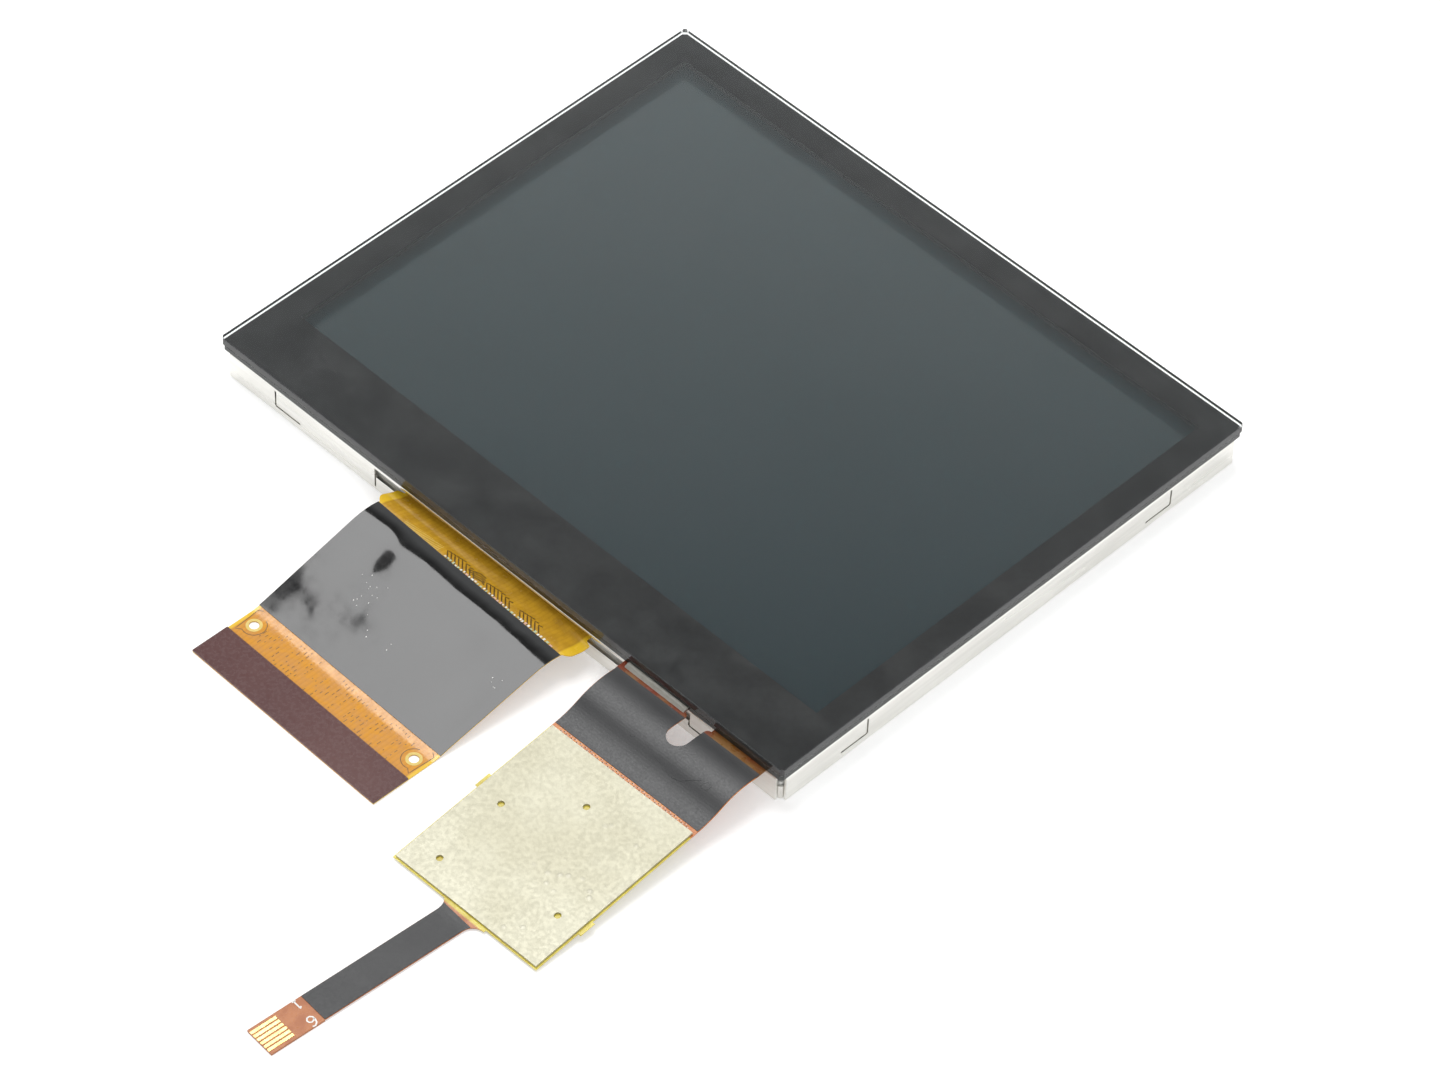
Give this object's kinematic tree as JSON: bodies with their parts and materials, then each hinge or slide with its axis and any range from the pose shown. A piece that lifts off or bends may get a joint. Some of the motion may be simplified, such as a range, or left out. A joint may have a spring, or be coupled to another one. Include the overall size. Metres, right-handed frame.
{
  "type": "tft display module",
  "caption": "Colour liquid crystal display module with a glass touch panel, steel bezel, a wide main flexible circuit and a narrower touch circuit with a short contact tail.",
  "frame": {"origin": "centre of the module's outline on its flat back, which rests on the table", "axes": "+X along the long edge, +Y along the short edge away from the flexible circuits, +Z out of the screen"},
  "size_m": [0.0768, 0.1173, 0.0051],
  "materials": {
    "cover_glass": "clear ground-edge glass",
    "print_black": "screen-printed ink",
    "adhesive": "clear optical adhesive",
    "sensor_glass": "clear glass",
    "foam": "black foam tape",
    "bezel_steel": "bright rolled stainless steel",
    "cover_steel": "bright rolled stainless steel",
    "polarizer": "neutral grey polarizing film",
    "cell_glass": "clear display glass",
    "chip_silicon": "bare silicon",
    "rim_tape": "black double-sided tape",
    "diffuser_film": "frosted film",
    "prism_film": "grooved film",
    "guide_acrylic": "clear moulded acrylic",
    "reflector_film": "bright white film",
    "frame_plastic": "white moulded polycarbonate",
    "led_body": "white package with yellow phosphor",
    "flex_polyimide": "amber polyimide film on copper",
    "cover_film": "black cover film",
    "stiffener_film": "dark red-brown backing",
    "contact_gold": "gold plate",
    "board_steel": "satin stainless steel",
    "chip_package": "moulded package",
    "capacitor": "ceramic body",
    "resistor": "coated ceramic body",
    "sealant": "cured light grey sealant"
  },
  "bodies": {
    "root": {"cover_glass": "cover_glass", "cover_print": "print_black", "optical_adhesive": "adhesive", "sensor_glass": "sensor_glass", "panel_gasket": "foam", "front_bezel": "bezel_steel", "cell_cushion": "foam", "upper_polarizer": "polarizer", "filter_glass": "cell_glass", "tft_glass": "cell_glass", "lower_polarizer": "polarizer", "driver_chip": "chip_silicon", "rim_tape": "rim_tape", "upper_diffuser": "diffuser_film", "upper_prism_film": "prism_film", "lower_prism_film": "prism_film", "lower_diffuser": "diffuser_film", "light_guide": "guide_acrylic", "reflector_film": "reflector_film", "moulded_frame": "frame_plastic", "led_strip": "flex_polyimide", "leds": "led_body", "rear_cover": "cover_steel", "main_flex": "flex_polyimide", "main_cover_film": "cover_film", "main_stiffener": "stiffener_film", "main_contacts": "contact_gold", "touch_flex": "flex_polyimide", "leg_cover_film": "cover_film", "board_stiffener": "board_steel", "touch_controller": "chip_package", "touch_capacitors": "capacitor", "touch_resistors": "resistor", "tail_cover_film": "cover_film", "tail_backing": "stiffener_film", "tail_contacts": "contact_gold", "sealing_bead": "sealant"}
  },
  "joints": []
}
